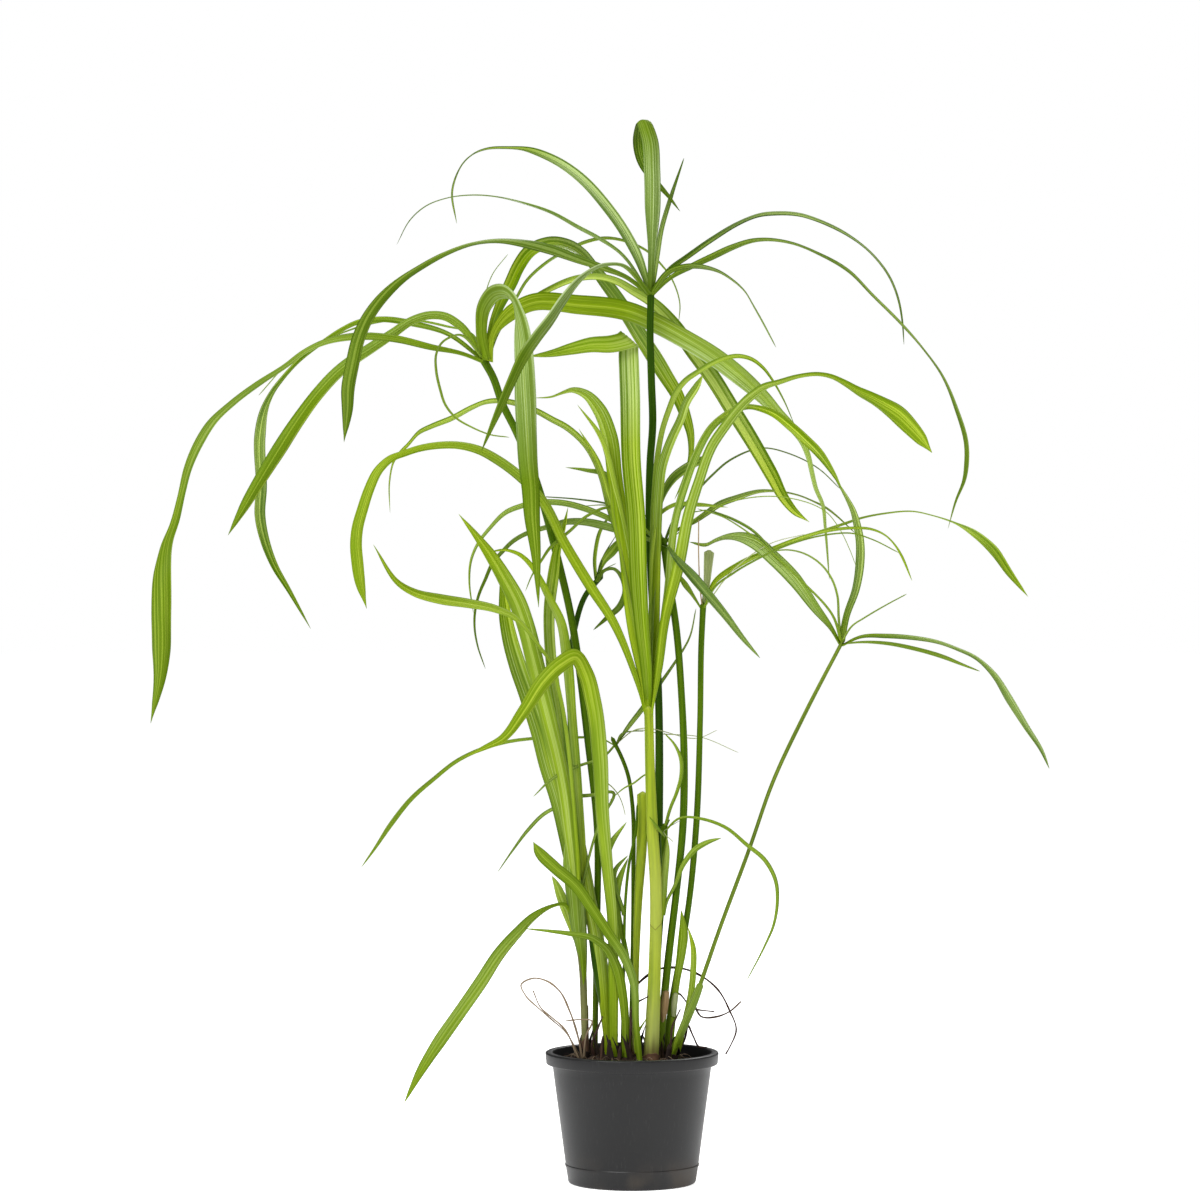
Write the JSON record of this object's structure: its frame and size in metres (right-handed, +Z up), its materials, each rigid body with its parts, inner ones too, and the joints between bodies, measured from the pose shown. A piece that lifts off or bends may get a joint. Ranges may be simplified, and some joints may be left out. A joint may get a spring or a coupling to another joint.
{
  "type": "potted umbrella sedge",
  "caption": "Tall clump of green sedge stems topped with umbrellas of narrow arching leaves, rooted in soil in a plain round tapered plastic nursery pot.",
  "frame": {"origin": "middle of the pot's underside, on the pot's axis", "axes": "+Z up along the pot's axis; -Y is the front of the plant, as the picture sees it; +X to the right of that view"},
  "size_m": [0.6574, 0.5386, 0.7991],
  "materials": {
    "pot_plastic": "satin",
    "soil": "matte",
    "rhizome": "matte",
    "stem_green": "satin",
    "stem_pale": "satin",
    "sheath_brown": "matte",
    "leaf_dark": "satin",
    "leaf_mid": "satin",
    "leaf_bright": "satin"
  },
  "bodies": {
    "root": {"pot": "pot_plastic", "soil": "soil", "rhizome": "rhizome", "culm_a": "stem_green", "culm_b": "stem_green", "culm_c": "stem_pale", "culm_d": "stem_green", "culm_e": "stem_green", "culm_f": "stem_green", "culm_g": "stem_green", "culm_h": "stem_green", "culm_i": "stem_green", "culm_k": "stem_green", "culm_l": "sheath_brown", "old_stub": "stem_pale", "leaf_a1": "leaf_dark", "leaf_a2": "leaf_dark", "leaf_a3": "leaf_dark", "leaf_a4": "leaf_dark", "leaf_a5": "leaf_dark", "leaf_a6": "leaf_dark", "leaf_a7": "leaf_dark", "leaf_a8": "leaf_dark", "leaf_a9": "leaf_dark", "leaf_b1": "leaf_mid", "leaf_b2": "leaf_bright", "leaf_b3": "leaf_bright", "leaf_b4": "leaf_bright", "leaf_b5": "leaf_mid", "leaf_b6": "leaf_mid", "leaf_b7": "leaf_mid", "leaf_c1": "leaf_bright", "leaf_c2": "leaf_bright", "leaf_c3": "leaf_bright", "leaf_c4": "leaf_bright", "leaf_c5": "leaf_bright", "leaf_c6": "leaf_bright", "leaf_c7": "leaf_bright", "leaf_c8": "leaf_bright", "leaf_d1": "leaf_mid", "leaf_d2": "leaf_mid", "leaf_d3": "leaf_mid", "leaf_e1": "leaf_mid", "leaf_e2": "leaf_mid", "leaf_f1": "leaf_dark", "leaf_f2": "leaf_mid", "leaf_f3": "leaf_mid", "leaf_f4": "leaf_dark", "leaf_i1": "leaf_dark", "leaf_l1": "leaf_bright", "leaf_l2": "leaf_bright", "leaf_l3": "leaf_bright", "leaf_l4": "leaf_bright", "leaf_l5": "leaf_bright", "leaf_l6": "leaf_mid", "leaf_fold": "leaf_bright", "leaf_low_left": "leaf_dark", "leaf_low_left_2": "leaf_mid", "leaf_low_right": "leaf_dark", "leaf_low_right_2": "leaf_bright"}
  },
  "joints": []
}
